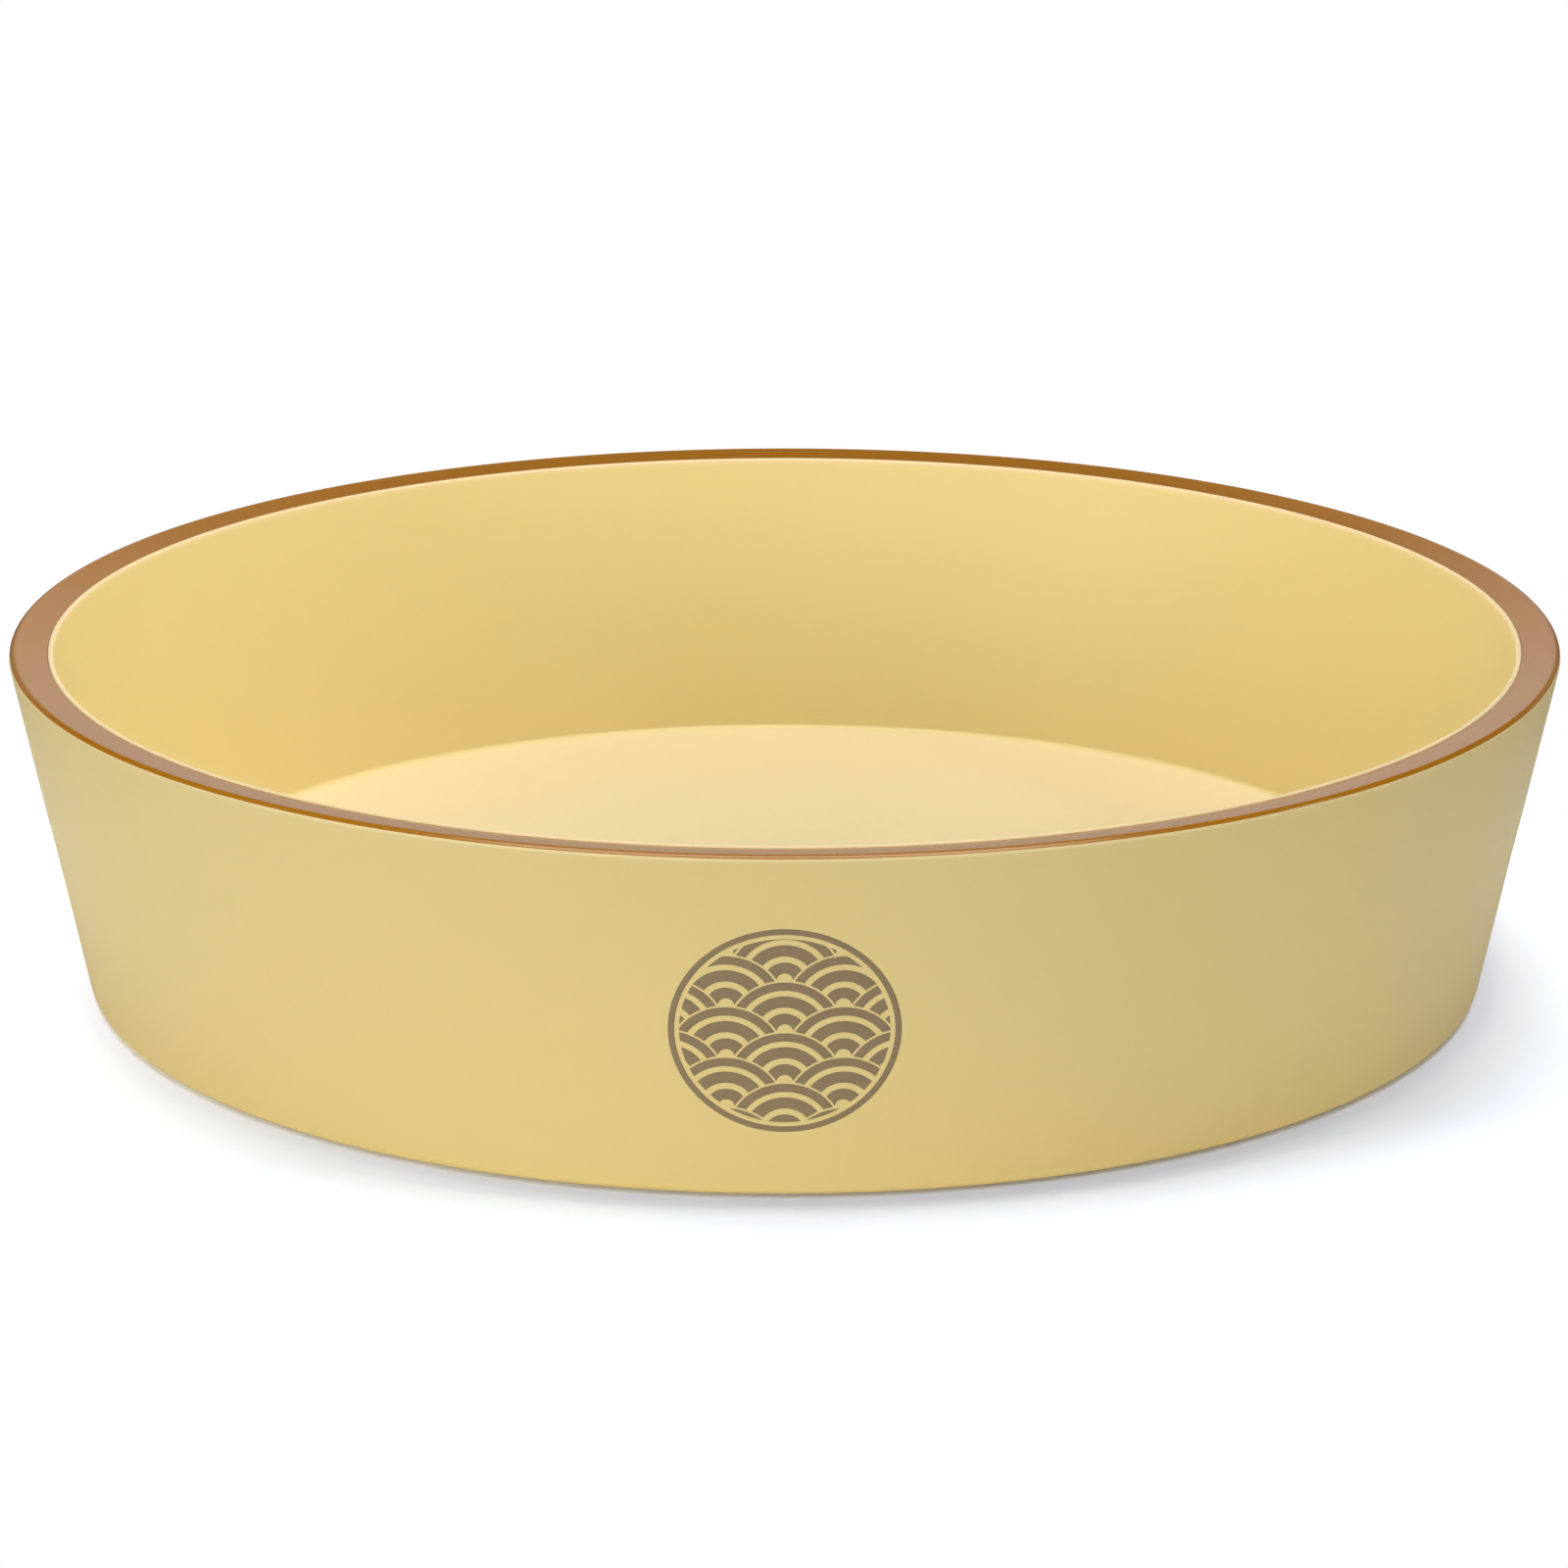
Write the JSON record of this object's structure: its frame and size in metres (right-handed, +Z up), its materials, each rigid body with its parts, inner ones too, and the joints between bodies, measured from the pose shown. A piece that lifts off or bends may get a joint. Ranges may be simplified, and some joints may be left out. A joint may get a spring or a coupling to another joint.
{
  "type": "sushi rice tub",
  "caption": "Shallow round sushi rice tub in cream plastic with a thick flared wall, a flat floor and a brown ring set into the rim; it rests on a flat foot.",
  "frame": {"origin": "centre of the tub at the level of the table it stands on", "axes": "+Z up along the axis of the tub; the tub is round, so +X and +Y are alike, and the picture looks along +Y"},
  "size_m": [0.4498, 0.4498, 0.102],
  "materials": {
    "tub_plastic": "satin moulded polyethylene, cream yellow",
    "ring_plastic": "smooth satin moulded plastic, brown"
  },
  "bodies": {
    "root": {"tub": "tub_plastic", "rim_ring": "ring_plastic"}
  },
  "joints": []
}
